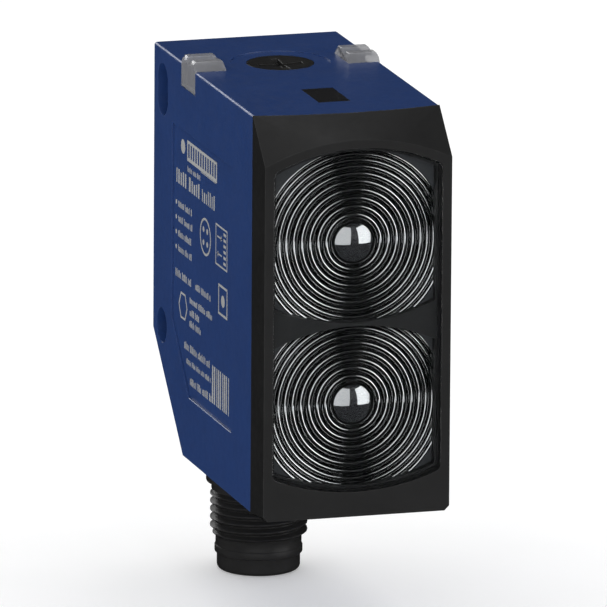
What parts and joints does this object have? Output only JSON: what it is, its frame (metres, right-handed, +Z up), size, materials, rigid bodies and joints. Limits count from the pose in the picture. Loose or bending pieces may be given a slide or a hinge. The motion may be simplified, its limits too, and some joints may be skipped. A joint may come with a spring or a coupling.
{
  "type": "photoelectric sensor",
  "caption": "Box-shaped photoelectric sensor with a clear window over stacked grooved lenses, a range adjuster, light pipes, cross mounting holes and a swivelling M12 plug.",
  "frame": {"origin": "centre of the lower mounting hole, on the middle plane between the side faces", "axes": "+X along the mounting holes, +Y to the rear face, so the sensor looks along -Y, +Z up towards the adjuster"},
  "size_m": [0.0234, 0.0477, 0.0665],
  "materials": {
    "blue_plastic": "fine moulded texture, satin",
    "black_plastic": "fine moulded texture, satin",
    "clear_pane": "clear polished plastic",
    "lens_plastic": "clear moulded plastic with turned grooves",
    "circuit_board": "solder mask",
    "lamp": "cast resin",
    "chip": "moulded resin",
    "capacitor": "fired ceramic",
    "light_pipe": "translucent smoky plastic",
    "dark_insert": "dark smoked plastic",
    "trimmer": "moulded resin",
    "rotor": "moulded resin",
    "adjuster": "satin moulded plastic",
    "rubber": "matte rubber",
    "spring_steel": "bright spring steel",
    "plug_plastic": "satin moulded plastic",
    "carrier": "moulded resin",
    "contact": "gold-plated",
    "lead": "wire insulation"
  },
  "bodies": {
    "sensor": {"housing": "blue_plastic", "front_bezel": "black_plastic", "front_window": "clear_pane", "lens_mask": "black_plastic", "emitter_lens": "lens_plastic", "receiver_lens": "lens_plastic", "optics_block": "black_plastic", "optics_board": "circuit_board", "emitter_led": "lamp", "receiver_photodiode": "chip", "main_board": "circuit_board", "processor_chip": "chip", "output_driver": "chip", "board_capacitors": "capacitor", "board_header": "chip", "indicator_board": "circuit_board", "indicator_led_left": "lamp", "indicator_led_right": "lamp", "light_pipe_left": "light_pipe", "light_pipe_right": "light_pipe", "top_window": "dark_insert", "trimmer_body": "trimmer", "board_leads": "lead"},
    "adjuster": {"range_adjuster": "adjuster", "adjuster_oring": "rubber", "adjuster_clip": "spring_steel", "trimmer_rotor": "rotor"},
    "plug": {"connector_shell": "plug_plastic", "swivel_oring": "rubber", "swivel_clip": "spring_steel", "contact_carrier": "carrier", "contact_pin_1": "contact", "contact_pin_2": "contact", "contact_pin_3": "contact", "contact_pin_4": "contact", "contact_leads": "lead"}
  },
  "joints": [
    {"name": "range_turn", "type": "hinge", "parent": "sensor", "child": "adjuster", "pos_m": [0, -0.0108, 0.0347], "axis": [0, 0, 1], "range_deg": [-135, 135]},
    {"name": "plug_swivel", "type": "hinge", "parent": "sensor", "child": "plug", "pos_m": [0, -0.0028, -0.0076], "axis": [0, 0.7071, -0.7071], "range_deg": [-90, 180]}
  ]
}
